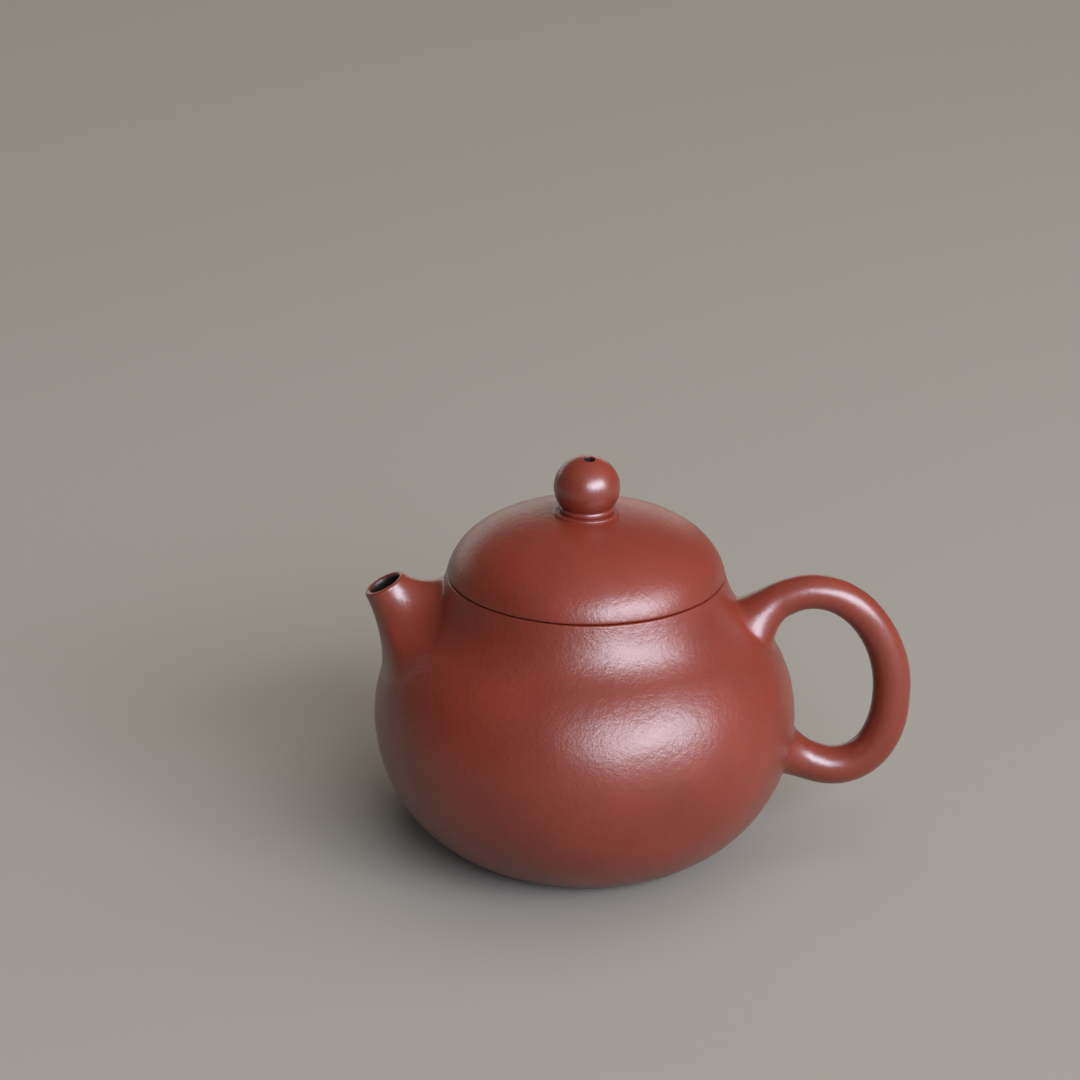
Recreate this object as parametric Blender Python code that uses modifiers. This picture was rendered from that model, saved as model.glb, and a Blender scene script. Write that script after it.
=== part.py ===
"""Small round clay teapot: a beaten wall on a flat base, a spout with a ball strainer,
a round loop handle, and a lid that lifts straight off.

Metres, +Z up. The origin is the centre of the flat base, on the pot's axis.
The spout points to -X and the handle to +X.
"""
import bpy
import bmesh
import numpy as np
from mathutils import Vector

MM = 0.001
GAP = 0.3                 # left between pieces that touch, in millimetres

# Everything below is in millimetres; radii are from the pot's axis.
WALL = 2.8                # thickness of the beaten wall
BELLY_RADIUS = 42.0       # widest radius of the body
BELLY_HEIGHT = 27.4       # height of the widest place
ARC_RADIUS = 27.0         # horizontal half-axis of both belly arcs
LOWER_ARC = 29.0          # vertical half-axis of the arc under the belly
UPPER_ARC = 25.8          # vertical half-axis of the arc over the belly
WAIST_HEIGHT = 44.8       # where the upper arc turns into the hollow shoulder
RIM_RADIUS = 27.35        # outer radius of the mouth
RIM_HEIGHT = 56.8         # height of the flat rim that the lid rests on
RIM_LEAN = 0.26           # how far the wall leans in per millimetre of height at the rim

BASE_RADIUS = 19.5        # the flat base disc let into the bottom of the wall
BASE_THICKNESS = 3.2
BASE_EDGE = 0.4           # small bevel on the disc

MOUTH_BORE = 21.9         # inner radius of the ring that thickens the mouth
MOUTH_RING_HEIGHT = 5.2
FLANGE_OUTER = 21.4       # the lid's flange, which enters the mouth
FLANGE_WALL = 2.3
FLANGE_DEPTH = 8.4        # how far the flange reaches below the rim

LID_TOP = 69.5            # top of the lid's dome
LID_SHOULDER = 7.8        # how far the dome rises before it turns in
LID_CROWN = 16.2          # how far the flat of the crown carries outwards
LID_WALL = 2.6
VENT_RADIUS = 1.1         # vent through knob, collar and lid

STEP_RADIUS = 6.8         # thin lower step of the knob's collar
STEP_HEIGHT = 0.7
BEAD_RADIUS = 5.5         # rounded bead over the step
COLLAR_BOTTOM = 69.0
COLLAR_TOP = 71.0
KNOB_RADIUS = 6.45
KNOB_CENTRE = 74.65
KNOB_TOP = 80.7           # the ball is slightly flattened around the vent

# A tube's path is a list of (x, z) points, with a radius for each.
SPOUT_PATH = [(-24.5, 40.0), (-30.3, 43.2), (-34.8, 47.0), (-37.3, 50.7), (-39.4, 53.9)]
SPOUT_RADII = [14.5, 11.8, 7.7, 5.65, 4.45]
CHANNEL_RADII = [9.0, 7.6, 5.6, 4.15, 3.55]
SPOUT_ROOT = (-33.6, 43.4)       # middle of the spout's foot on the wall, (x, z)
SPOUT_SLOPE = 33.6               # degrees that the wall faces upwards there
DOOR_RADIUS = 6.0                # the opening through the wall into the spout
DOOR_PLUG = 16.0                 # length of the plug that cuts it
DOOR_STEPS = 24

STRAINER_RADIUS = 8.0
STRAINER_WALL = 1.3
STRAINER_SKIRT = 2.6
STRAINER_HOLE = 0.8              # radius of one hole
STRAINER_STEPS = 24
STRAINER_ROWS = [(0.0, 1), (27.0, 6), (54.0, 11)]   # degrees from the tip, holes in the row

HANDLE_PATH = [(29.0, 44.5), (33.6, 48.6), (38.6, 51.5), (44.4, 52.8), (49.8, 51.8),
               (54.7, 48.4), (58.6, 42.9), (60.8, 36.7), (61.4, 30.8), (60.7, 24.8),
               (58.3, 19.4), (54.5, 16.0), (49.8, 14.95), (45.2, 16.0), (39.6, 18.6), (33.0, 21.4)]
HANDLE_RADII = [7.0, 5.5, 3.95, 3.4, 3.4,
                3.5, 3.6, 3.7, 3.8, 3.85,
                3.85, 3.9, 3.9, 3.95, 4.9, 6.0]

OUTLINE_POINTS = 9        # points on the outline over the widest place, and under it
DOME_POINTS = 11          # points on the lid's outer curve
BALL_POINTS = 11          # points on the knob's outline
TURN_STEPS = 48           # facets around a turned piece
FINE_STEPS = 32           # facets around the knob and its collar
TUBE_SUBDIVISIONS = 2     # points between two path points of a tube
MERGE = 0.00002           # metres; joins the doubled points of a seam

CLAY = (0.225, 0.036, 0.022)


def clear_scene():
    """Start from an empty file."""
    for old in list(bpy.data.objects):
        bpy.data.objects.remove(old, do_unlink=True)


def collection(name):
    """A named collection in the scene."""
    group = bpy.data.collections.new(name)
    bpy.context.scene.collection.children.link(group)
    return group


def clay(name, shade, roughness):
    """Unglazed fired clay; shade darkens or lightens the common body colour."""
    material = bpy.data.materials.new(name)
    material.use_nodes = True
    shader = material.node_tree.nodes["Principled BSDF"]
    shader.inputs["Base Color"].default_value = tuple(shade * c for c in CLAY) + (1.0,)
    shader.inputs["Roughness"].default_value = roughness
    shader.inputs["Metallic"].default_value = 0.0
    return material


def add_object(name, mesh, group, parent=None, shade=1.0, roughness=0.42):
    """Put a mesh into the scene as one named piece of clay, shaded smooth."""
    piece = bpy.data.objects.new(name, mesh)
    group.objects.link(piece)
    piece.parent = parent
    mesh.materials.append(clay(name + "_clay", shade, roughness))
    mesh.shade_smooth()
    mesh.set_sharp_from_angle(angle=np.radians(40.0))
    return piece


def add_cutter(name, mesh, group):
    """Put a mesh into the scene as a tool that only cuts other pieces."""
    tool = bpy.data.objects.new(name, mesh)
    group.objects.link(tool)
    tool.hide_render = True
    tool.display_type = "WIRE"
    return tool


def outline_mesh(name, points, closed):
    """Edges along (radius, height) points in millimetres, in the XZ plane."""
    count = len(points)
    verts = [(r * MM, 0.0, z * MM) for r, z in points]
    edges = [(i, (i + 1) % count) for i in range(count if closed else count - 1)]
    mesh = bpy.data.meshes.new(name)
    mesh.from_pydata(verts, edges, [])
    return mesh


def turn(piece, steps):
    """Turn the piece's outline once around its Z axis."""
    screw = piece.modifiers.new("turn", "SCREW")
    screw.axis = "Z"
    screw.angle = 2.0 * np.pi
    screw.steps = steps
    screw.render_steps = steps
    screw.use_merge_vertices = True
    screw.merge_threshold = MERGE
    screw.use_smooth_shade = True


def boolean(piece, tool, operation):
    """Cut a piece with a tool, or keep only what lies inside the tool."""
    cut = piece.modifiers.new(operation.lower() + "_" + tool.name, "BOOLEAN")
    cut.operation = operation
    cut.object = tool
    cut.solver = "EXACT"


def belly_point(height):
    """Radius of the belly at a height: two quarter ellipses that meet at the widest place."""
    rise = height - BELLY_HEIGHT
    half = UPPER_ARC if rise > 0.0 else LOWER_ARC
    return BELLY_RADIUS - ARC_RADIUS + ARC_RADIUS * np.sqrt(1.0 - (rise / half) ** 2)


def shoulder_point(height):
    """Radius of the hollow shoulder: a cubic that leaves the belly arc and reaches the rim
    with the rim's lean."""
    span = RIM_HEIGHT - WAIST_HEIGHT
    t = (height - WAIST_HEIGHT) / span
    start = belly_point(WAIST_HEIGHT)
    drop = (belly_point(WAIST_HEIGHT) - belly_point(WAIST_HEIGHT - 0.01)) / 0.01
    return ((2 * t**3 - 3 * t**2 + 1) * start + (t**3 - 2 * t**2 + t) * span * drop
            + (3 * t**2 - 2 * t**3) * RIM_RADIUS - (t**3 - t**2) * span * RIM_LEAN)


def body_radius(height):
    """Outer radius of the pot at a height."""
    return shoulder_point(height) if height > WAIST_HEIGHT else belly_point(height)


def body_outline(inset=0.0, low=0.0, high=RIM_HEIGHT):
    """The pot's outer outline from the rim down to the foot, moved inwards by inset.
    Heights follow a cosine, so that the points crowd where the foot turns in."""
    turns = np.linspace(0.0, 0.5 * np.pi, OUTLINE_POINTS)
    lower = BELLY_HEIGHT * (1.0 - np.sin(turns[1:]))
    upper = np.linspace(RIM_HEIGHT, BELLY_HEIGHT, OUTLINE_POINTS)
    heights = np.concatenate([upper, lower])
    radii = np.array([body_radius(h) for h in heights])
    along = np.gradient(radii), np.gradient(heights)
    length = np.hypot(*along)
    normal_r, normal_z = along[1] / length, -along[0] / length
    moved = np.column_stack([radii + inset * normal_r, heights + inset * normal_z])
    inside = (moved[:, 1] > low + 0.2) & (moved[:, 1] < high - 0.2)
    kept = moved[inside]
    order = np.argsort(moved[:, 1])
    ends = [(np.interp(z, moved[order, 1], moved[order, 0]), z) for z in (high, low)]
    return [ends[0]] + [tuple(p) for p in kept] + [ends[1]]


def lid_outline(inset):
    """The lid's dome from its crown down to the rim: one cubic with four control points.
    inset moves it inwards for the underside."""
    rim = RIM_HEIGHT + GAP
    shoulder = (RIM_RADIUS - RIM_LEAN * LID_SHOULDER, rim + LID_SHOULDER)
    points = np.array([(0.0, LID_TOP), (LID_CROWN, LID_TOP), shoulder, (RIM_RADIUS, rim)])
    t = np.linspace(0.0, 1.0, DOME_POINTS)[:, None]
    curve = ((1 - t) ** 3 * points[0] + 3 * (1 - t) ** 2 * t * points[1]
             + 3 * (1 - t) * t**2 * points[2] + t**3 * points[3])
    along = np.gradient(curve, axis=0)
    length = np.hypot(along[:, 0], along[:, 1])
    normal = np.column_stack([along[:, 1], -along[:, 0]]) / length[:, None]
    return curve + inset * normal


def smooth_path(points, radii, subdivisions):
    """More points along a path: a Catmull-Rom curve through the given ones, radii included."""
    rows = np.column_stack([np.array(points, float), radii])
    padded = np.vstack([2 * rows[0] - rows[1], rows, 2 * rows[-1] - rows[-2]])
    fine = []
    for i in range(1, len(padded) - 2):
        before, start, end, after = padded[i - 1:i + 3]
        for step in range(subdivisions):
            t = step / subdivisions
            fine.append(0.5 * (2 * start + (end - before) * t
                               + (2 * before - 5 * start + 4 * end - after) * t**2
                               + (3 * start - before - 3 * end + after) * t**3))
    fine.append(rows[-1])
    return np.array(fine)


def tube_mesh(name, points, radii, sides):
    """A capped round tube in the XZ plane, as thick at each point as its radius."""
    rows = smooth_path(points, radii, TUBE_SUBDIVISIONS)
    curve = bpy.data.curves.new(name, "CURVE")
    curve.dimensions = "3D"
    curve.bevel_depth = MM
    curve.bevel_resolution = sides
    curve.use_fill_caps = True
    line = curve.splines.new("POLY")
    line.points.add(len(rows) - 1)
    for point, (x, z, radius) in zip(line.points, rows):
        point.co = (x * MM, 0.0, z * MM, 1.0)
        point.radius = radius
    guide = bpy.data.objects.new(name, curve)
    bpy.context.scene.collection.objects.link(guide)
    evaluated = guide.evaluated_get(bpy.context.evaluated_depsgraph_get())
    mesh = bpy.data.meshes.new_from_object(evaluated)
    bpy.data.objects.remove(guide, do_unlink=True)
    welded = bmesh.new()
    welded.from_mesh(mesh)
    bmesh.ops.remove_doubles(welded, verts=welded.verts, dist=MERGE)
    bmesh.ops.recalc_face_normals(welded, faces=welded.faces)
    welded.to_mesh(mesh)
    welded.free()
    return mesh


def root_direction():
    """Unit vector out of the wall where the spout stands."""
    slope = np.radians(SPOUT_SLOPE)
    return Vector((-np.cos(slope), 0.0, np.sin(slope)))


def aim(piece, origin, direction):
    """Stand a piece at a place in millimetres, with its Z axis along a direction."""
    piece.location = Vector(origin) * MM
    piece.rotation_euler = direction.to_track_quat("Z", "Y").to_euler()


def make_body_cutter(tools):
    """The pot's whole outer volume, one gap larger: trims what stands on the wall."""
    points = [(0.0, RIM_HEIGHT + 2.0), (RIM_RADIUS + GAP, RIM_HEIGHT + 2.0)]
    points += body_outline(inset=-GAP) + [(0.0, 0.0)]
    tool = add_cutter("body_volume", outline_mesh("body_volume", points, False), tools)
    turn(tool, TURN_STEPS)
    return tool


def make_cavity_cutter(tools):
    """The pot's hollow, one gap smaller: what stands inside the wall stays in it."""
    inner = body_outline(inset=WALL + GAP, low=BASE_THICKNESS + GAP, high=RIM_HEIGHT - 4.0)
    points = [(0.0, inner[0][1])] + inner + [(0.0, inner[-1][1])]
    tool = add_cutter("cavity_volume", outline_mesh("cavity_volume", points, False), tools)
    turn(tool, TURN_STEPS)
    return tool


def make_door_cutter(tools):
    """A round plug that opens the wall into the spout."""
    shape = bmesh.new()
    bmesh.ops.create_cone(shape, cap_ends=True, segments=DOOR_STEPS, radius1=DOOR_RADIUS * MM,
                          radius2=DOOR_RADIUS * MM, depth=DOOR_PLUG * MM)
    mesh = bpy.data.meshes.new("door_plug")
    shape.to_mesh(mesh)
    shape.free()
    tool = add_cutter("door_plug", mesh, tools)
    aim(tool, (SPOUT_ROOT[0], 0.0, SPOUT_ROOT[1]), root_direction())
    return tool


def make_body_wall(group, parent, door):
    """The beaten wall: the outer outline, the flat rim, and the inner outline one wall in."""
    outer = body_outline()
    inner = body_outline(inset=WALL, low=0.0)
    inner[-1] = (BASE_RADIUS + GAP, 0.0)
    inner = [p for p in inner[:-1] if p[0] > BASE_RADIUS + GAP] + [inner[-1]]
    inner[0] = (RIM_RADIUS - WALL, RIM_HEIGHT)
    points = outer + inner[::-1]
    wall = add_object("body_wall", outline_mesh("body_wall", points, True), group, parent)
    turn(wall, TURN_STEPS)
    boolean(wall, door, "DIFFERENCE")
    return wall


def make_base_disc(group, parent):
    """The flat disc that closes the bottom, with a small bevel on its edges."""
    top = BASE_THICKNESS
    points = [(0.0, top), (BASE_RADIUS - BASE_EDGE, top), (BASE_RADIUS, top - BASE_EDGE),
              (BASE_RADIUS, BASE_EDGE), (BASE_RADIUS - BASE_EDGE, 0.0), (0.0, 0.0)]
    disc = add_object("base_disc", outline_mesh("base_disc", points, False), group, parent, 0.9)
    turn(disc, TURN_STEPS)
    return disc


def make_mouth_ring(group, parent):
    """The ring luted inside the wall, which thickens the mouth that the lid sits on."""
    low = RIM_HEIGHT - MOUTH_RING_HEIGHT
    outer = RIM_RADIUS - WALL - GAP
    points = [(outer, RIM_HEIGHT), (outer, low + 0.9), (outer - 0.7, low),
              (MOUTH_BORE + 0.5, low), (MOUTH_BORE, low + 0.6), (MOUTH_BORE, RIM_HEIGHT - 0.4),
              (MOUTH_BORE + 0.4, RIM_HEIGHT)]
    ring = add_object("mouth_ring", outline_mesh("mouth_ring", points, True), group, parent, 0.95)
    turn(ring, TURN_STEPS)
    return ring


def make_spout(group, parent, body_volume, tools):
    """A short tapered spout: a thick tube, bored by its channel and fitted to the wall."""
    mesh = tube_mesh("spout", SPOUT_PATH, SPOUT_RADII, 6)
    spout = add_object("spout", mesh, group, parent)
    far_x = 2 * SPOUT_PATH[-1][0] - SPOUT_PATH[-2][0]
    far_z = 2 * SPOUT_PATH[-1][1] - SPOUT_PATH[-2][1]
    channel = tube_mesh("spout_channel", SPOUT_PATH + [(far_x, far_z)],
                        CHANNEL_RADII + [CHANNEL_RADII[-1]], 4)
    boolean(spout, body_volume, "DIFFERENCE")
    boolean(spout, add_cutter("spout_channel", channel, tools), "DIFFERENCE")
    return spout


def make_strainer_holes(tools):
    """All the strainer's holes as one tool: short pegs around a ball, row by row."""
    shape = bmesh.new()
    middle = STRAINER_RADIUS - 0.5 * STRAINER_WALL
    for tilt, count in STRAINER_ROWS:
        for step in range(count):
            turn_angle = 2.0 * np.pi * step / count
            lean = np.radians(tilt)
            out = Vector((np.sin(lean) * np.cos(turn_angle), np.sin(lean) * np.sin(turn_angle),
                          -np.cos(lean)))
            peg = bmesh.ops.create_cone(shape, cap_ends=True, segments=8,
                                        radius1=STRAINER_HOLE * MM, radius2=STRAINER_HOLE * MM,
                                        depth=2.0 * STRAINER_WALL * MM)
            turned = out.to_track_quat("Z", "Y").to_matrix().to_4x4()
            turned.translation = out * middle * MM
            bmesh.ops.transform(shape, matrix=turned, verts=peg["verts"])
    mesh = bpy.data.meshes.new("strainer_pegs")
    shape.to_mesh(mesh)
    shape.free()
    return add_cutter("strainer_pegs", mesh, tools)


def make_strainer(group, parent, cavity, tools):
    """A pierced half ball that bulges into the pot behind the spout's opening."""
    inner = STRAINER_RADIUS - STRAINER_WALL
    bends = np.linspace(0.0, 0.5 * np.pi, 7)
    outer_half = [(STRAINER_RADIUS * np.cos(a), -STRAINER_RADIUS * np.sin(a)) for a in bends]
    inner_half = [(inner * np.cos(a), -inner * np.sin(a)) for a in bends]
    points = [(STRAINER_RADIUS, STRAINER_SKIRT)] + outer_half[:-1] + [(0.0, -STRAINER_RADIUS)]
    points += [(0.0, -inner)] + inner_half[::-1][1:] + [(inner, STRAINER_SKIRT)]
    mesh = outline_mesh("strainer", points + [points[0]], False)
    strainer = add_object("strainer", mesh, group, parent, 0.95)
    turn(strainer, STRAINER_STEPS)
    seat = Vector((SPOUT_ROOT[0], 0.0, SPOUT_ROOT[1])) - root_direction() * (WALL + STRAINER_SKIRT)
    pegs = make_strainer_holes(tools)
    for piece in (strainer, pegs):
        aim(piece, seat, root_direction())
    boolean(strainer, pegs, "DIFFERENCE")
    boolean(strainer, cavity, "INTERSECT")
    return strainer


def make_handle(group, parent, body_volume):
    """A round loop that grows thicker where it is luted to the shoulder and to the belly."""
    mesh = tube_mesh("handle", HANDLE_PATH, HANDLE_RADII, 6)
    handle = add_object("handle", mesh, group, parent)
    boolean(handle, body_volume, "DIFFERENCE")
    return handle


def make_lid_dome(group, parent):
    """The domed lid: the outer curve, a flat seat under the collar, the vent, and the
    underside one wall in."""
    rim = RIM_HEIGHT + GAP
    seat = COLLAR_BOTTOM - GAP
    outer = [tuple(p) for p in lid_outline(0.0) if p[0] > STEP_RADIUS + GAP]
    under = [tuple(p) for p in lid_outline(LID_WALL)
             if p[0] > VENT_RADIUS and p[1] > rim + 1.0]
    points = [(VENT_RADIUS, seat), (STEP_RADIUS + GAP, seat)] + outer
    points += [(RIM_RADIUS - LID_WALL - 1.0, rim)] + under[::-1]
    points += [(VENT_RADIUS, under[0][1])]
    dome = add_object("lid_dome", outline_mesh("lid_dome", points, True), group, parent)
    turn(dome, TURN_STEPS)
    return dome


def make_lid_flange(group, parent):
    """The ring under the lid that drops into the mouth and keeps the lid centred."""
    low = RIM_HEIGHT - FLANGE_DEPTH
    inner = FLANGE_OUTER - FLANGE_WALL
    high = RIM_HEIGHT
    points = [(FLANGE_OUTER, high), (FLANGE_OUTER, low + 0.7), (FLANGE_OUTER - 0.7, low),
              (inner + 0.4, low), (inner, low + 0.5), (inner, high)]
    flange = add_object("lid_flange", outline_mesh("lid_flange", points, True), group, parent, 0.95)
    turn(flange, TURN_STEPS)
    return flange


def make_knob_collar(group, parent):
    """A thin step with a rounded bead on it, between the lid and the knob."""
    step_top = COLLAR_BOTTOM + STEP_HEIGHT
    bead_middle = 0.5 * (step_top + COLLAR_TOP)
    half = 0.5 * (COLLAR_TOP - step_top)
    bends = np.linspace(0.5 * np.pi, -0.5 * np.pi, 7)
    bead = [(BEAD_RADIUS - half + half * np.cos(a), bead_middle + half * np.sin(a)) for a in bends]
    points = [(VENT_RADIUS, COLLAR_TOP)] + bead
    points += [(STEP_RADIUS - 0.2, step_top), (STEP_RADIUS, step_top - 0.15),
               (STEP_RADIUS, COLLAR_BOTTOM), (VENT_RADIUS, COLLAR_BOTTOM)]
    collar = add_object("knob_collar", outline_mesh("knob_collar", points, True), group, parent)
    turn(collar, FINE_STEPS)
    return collar


def make_knob(group, parent):
    """A ball cut flat on its bead, slightly flattened on top, with the vent through it."""
    bottom = COLLAR_TOP + GAP
    start = np.arcsin((bottom - KNOB_CENTRE) / KNOB_RADIUS)
    tall = KNOB_TOP - KNOB_CENTRE
    bends = np.linspace(0.5 * np.pi, start, BALL_POINTS)
    ball = [(KNOB_RADIUS * np.cos(a),
             KNOB_CENTRE + (tall if a > 0.0 else KNOB_RADIUS) * np.sin(a)) for a in bends]
    ball = [p for p in ball if p[0] > VENT_RADIUS + 0.3]
    points = [(VENT_RADIUS, KNOB_TOP - 0.25), (VENT_RADIUS + 0.25, KNOB_TOP)] + ball
    points += [(VENT_RADIUS, bottom)]
    knob = add_object("knob", outline_mesh("knob", points, True), group, parent)
    turn(knob, FINE_STEPS)
    return knob


def build():
    """The pot on one empty, and the lid on another whose Z axis is the way it lifts."""
    clear_scene()
    pieces = collection("clay_teapot")
    tools = collection("cutters")
    pot = bpy.data.objects.new("pot", None)
    lid = bpy.data.objects.new("lid", None)
    lid.parent = pot
    for empty in (pot, lid):
        pieces.objects.link(empty)

    body_volume = make_body_cutter(tools)
    cavity = make_cavity_cutter(tools)
    door = make_door_cutter(tools)

    make_body_wall(pieces, pot, door)
    make_base_disc(pieces, pot)
    make_mouth_ring(pieces, pot)
    make_spout(pieces, pot, body_volume, tools)
    make_strainer(pieces, pot, cavity, tools)
    make_handle(pieces, pot, body_volume)

    make_lid_dome(pieces, lid)
    make_lid_flange(pieces, lid)
    make_knob_collar(pieces, lid)
    make_knob(pieces, lid)


build()
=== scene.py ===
"""A small round red clay teapot on a pale floor: beaten wall, luted spout and loop handle,
and a domed lid with a ball knob that lifts straight off.

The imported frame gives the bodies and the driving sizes. The pieces here are finer surfaces of
the same clay parts. Lengths are in millimetres until a mesh is made; +Z is up, the pot's axis
is the Z axis, the spout points to -X and the handle to +X.
"""
import bpy
import numpy as np
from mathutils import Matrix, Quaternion, Vector


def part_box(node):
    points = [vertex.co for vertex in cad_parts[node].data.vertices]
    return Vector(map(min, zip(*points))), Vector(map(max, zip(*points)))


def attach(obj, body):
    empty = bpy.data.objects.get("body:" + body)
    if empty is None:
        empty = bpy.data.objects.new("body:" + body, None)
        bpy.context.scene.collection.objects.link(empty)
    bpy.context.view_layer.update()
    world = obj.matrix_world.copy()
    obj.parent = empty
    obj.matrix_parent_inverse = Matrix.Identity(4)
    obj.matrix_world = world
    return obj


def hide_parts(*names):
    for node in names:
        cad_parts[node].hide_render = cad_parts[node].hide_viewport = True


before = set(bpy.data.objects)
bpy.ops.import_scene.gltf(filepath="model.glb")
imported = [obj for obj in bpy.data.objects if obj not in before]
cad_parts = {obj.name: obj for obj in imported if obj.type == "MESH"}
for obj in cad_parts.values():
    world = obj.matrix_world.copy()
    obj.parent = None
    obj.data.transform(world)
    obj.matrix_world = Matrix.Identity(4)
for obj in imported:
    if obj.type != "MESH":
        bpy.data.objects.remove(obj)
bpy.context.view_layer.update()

MM = 0.001
TAU = 2.0 * np.pi


# ---------------------------------------------------------------- sizes read from the frame

def span(node):
    """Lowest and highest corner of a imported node, in millimetres."""
    low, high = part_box(node)
    return np.array(low) / MM, np.array(high) / MM


WALL_LOW, WALL_HIGH = span("body_wall")
BELLY_RADIUS = 0.5 * (WALL_HIGH[1] - WALL_LOW[1])
RIM_HEIGHT = WALL_HIGH[2]
RIM_RADIUS = span("lid_dome")[1][1]
KNOB_TOP = span("knob")[1][2]
FLANGE_LOW = span("lid_flange")[0][2]
FLANGE_RADIUS = span("lid_flange")[1][1]
BASE_RADIUS = span("base_disc")[1][1]
BASE_THICKNESS = span("base_disc")[1][2]
RING_LOW = span("mouth_ring")[0][2]

# ------------------------------------------------------------------ shape of the clay pieces

WALL = 2.8                 # thickness of the beaten wall
WALL_ROWS = 90             # rows over the widest place, and again under it
RIM_EDGE = 0.35            # rounding of the rim's outer edge
FOOT_CLEAR = 0.25          # how far over the floor the outer face ends
HAND_WAVE = 0.035          # depth of the unevenness that hands leave
BELLY_HEIGHT = 27.4        # height of the widest place
ARC_RADIUS = 27.0          # horizontal half-axis of both belly arcs
LOWER_ARC = 29.0           # vertical half-axis of the arc under the belly
UPPER_ARC = 25.8           # vertical half-axis of the arc over the belly
WAIST_HEIGHT = 46.2        # where the upper arc turns into the hollow shoulder
RIM_LEAN = 0.32            # how far the wall leans in per millimetre of height at the rim
MOUTH_BORE = 21.9          # inner radius of the mouth

LID_GAP = 0.22             # dark line that is left between lid and rim
LID_TOP = 69.5             # height of the crown
LID_LEAN = 0.26            # how far the lid's edge leans in per millimetre of height
LID_SHOULDER = 7.8         # how far the dome rises before it turns in
LID_CROWN = 16.2           # how far the flat of the crown carries outwards
LID_WALL = 2.6             # thickness of the dome
LID_EDGE = 0.3             # rounding of its lower edge
LID_ROWS = 160
FLANGE_WALL = 2.3          # thickness of the flange
FLANGE_RISE = 1.2          # how far the flange goes up into the dome
VENT_RADIUS = 1.1
VENT_EDGE = 0.22           # softening of the vent's edge on top of the ball

KNOB_RADIUS = 6.45         # of the ball, at its waist
KNOB_CENTRE = 74.65        # height of the ball's waist
KNOB_ROWS = 90
NECK_HEIGHT = 69.7         # where the ball is cut, inside its collar
VENT_LEAN = (8.0, 3.6)     # degrees that the ball's top leans to the front and to the right
BEAD_RADIUS = 5.35         # outer radius of the bead that holds the ball
BEAD_HALF = 0.85           # half the height of the bead
BEAD_HEIGHT = 70.12        # height of its middle
STEP_RADIUS = 6.5          # outer radius of the step under the bead
STEP_TOP = 69.7            # height of the step's upper face
STEP_ROUND = 0.3           # rounding of its edge

LIP_CENTRE = np.array([-39.4, 0.0, 53.75])   # middle of the spout's mouth
LIP_TILT = 63.0            # degrees that the mouth faces upwards
LIP_RADIUS = 4.4           # outer radius at the lip
LIP_ROUND = 1.0            # how full the lip's round is, 1 for a half circle
LIP_PAINTED_SHADE = (0.95, 0.7, 0.35, 0.1)   # how the painted shade fades as the lip rounds over from the bore
BORE_RADIUS = 3.2
BORE_START = 0.4           # how far behind the mouth's plane the bore begins
BORE_EASE = 1.4            # how late the bore widens, 1 for a plain cone
SPOUT_FLARE_FRONT = 0.0    # degrees that the front line leaves the lip outwards
SPOUT_FLARE_TOP = 27.0     # the same on top
SPOUT_FOOT_HEIGHT = 45.2   # middle of the foot on the wall
SPOUT_FOOT_HALF = 10.1     # half its height
SPOUT_FOOT_SIDE = 26.5     # half its width, in degrees around the pot
SPOUT_SKEW = 0.08          # how much wider the foot is in its lower half
SPOUT_LEAVE = (13.0, 9.5, 9.0)   # pulls at the lip: in front, on top, and more at the flanks
SPOUT_LAND = (14.0, 2.6, 7.0)    # the same at the wall
SPOUT_ROWS = 70

DOOR_RADIUS = 6.0          # the opening through the wall behind the spout
DOOR_HEIGHT = 43.4
DOOR_SLOPE = 0.83          # how much the wall's slope shortens the opening's height
DOOR_CUT = 5.4             # the same opening as it is cut through the shown wall
DOOR_OUT = 1.0             # how far the cut reaches past the wall's outer face
DOOR_IN = 3.0              # and past its inner face
STRAINER_RADIUS = 8.0
STRAINER_WALL = 1.3
STRAINER_SEAT = 1.9        # how far its middle is behind the wall's inner face
STRAINER_ROWS = [(0.0, 1), (27.0, 6), (54.0, 11)]   # rows of holes: degrees, and how many
STRAINER_HOLE = 0.8        # radius of a hole

# (x, z, radius) of the loop's middle line, from the shoulder around to the belly
HANDLE_PATH = [(38.9, 51.3, 3.6), (41.6, 52.45, 3.45), (45.2, 52.9, 3.4), (50.0, 51.8, 3.42),
               (54.9, 48.3, 3.5), (58.8, 42.7, 3.6), (60.9, 36.6, 3.7), (61.4, 30.8, 3.78),
               (60.7, 24.6, 3.82), (58.2, 19.1, 3.85), (54.4, 15.9, 3.88), (50.4, 14.95, 3.9),
               (47.6, 15.35, 3.92), (45.2, 16.15, 3.95)]
# foot's height, half height and half angle on the wall, which way is up, then for the outer
# and the inner side of the loop: pull at the tube, and pull at the wall
HANDLE_TOP_ROOT = (46.0, 5.0, 12.5, 1.0, (6.5, 7.0), (2.6, 6.5))
HANDLE_LOW_ROOT = (19.0, 5.6, 8.4, -1.0, (4.5, 4.5), (2.2, 4.6))
HANDLE_ROWS = 150
ROOT_ROWS = 46
SPAN_PLACES = 40           # places on the curve between two points of a path
SMOOTH_PASSES = 24         # times that a path's places are averaged with their neighbours

FOOT_SINK = 0.015          # how far a foot's line is under the wall's face
HIDDEN_SINK = 0.3          # the same for the parts that the wall hides

AROUND = 320               # columns around a turned piece
TUBE_AROUND = 128          # columns around the spout and the handle
FINE_AROUND = 160          # columns around the knob
STRAINER_AROUND = 96
DOOR_AROUND = 48
HOLE_AROUND = 24
SHARP_ANGLE = 50.0         # degrees between faces that keep a hard edge

# ------------------------------------------------------------- colours, floor, light, camera

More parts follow.
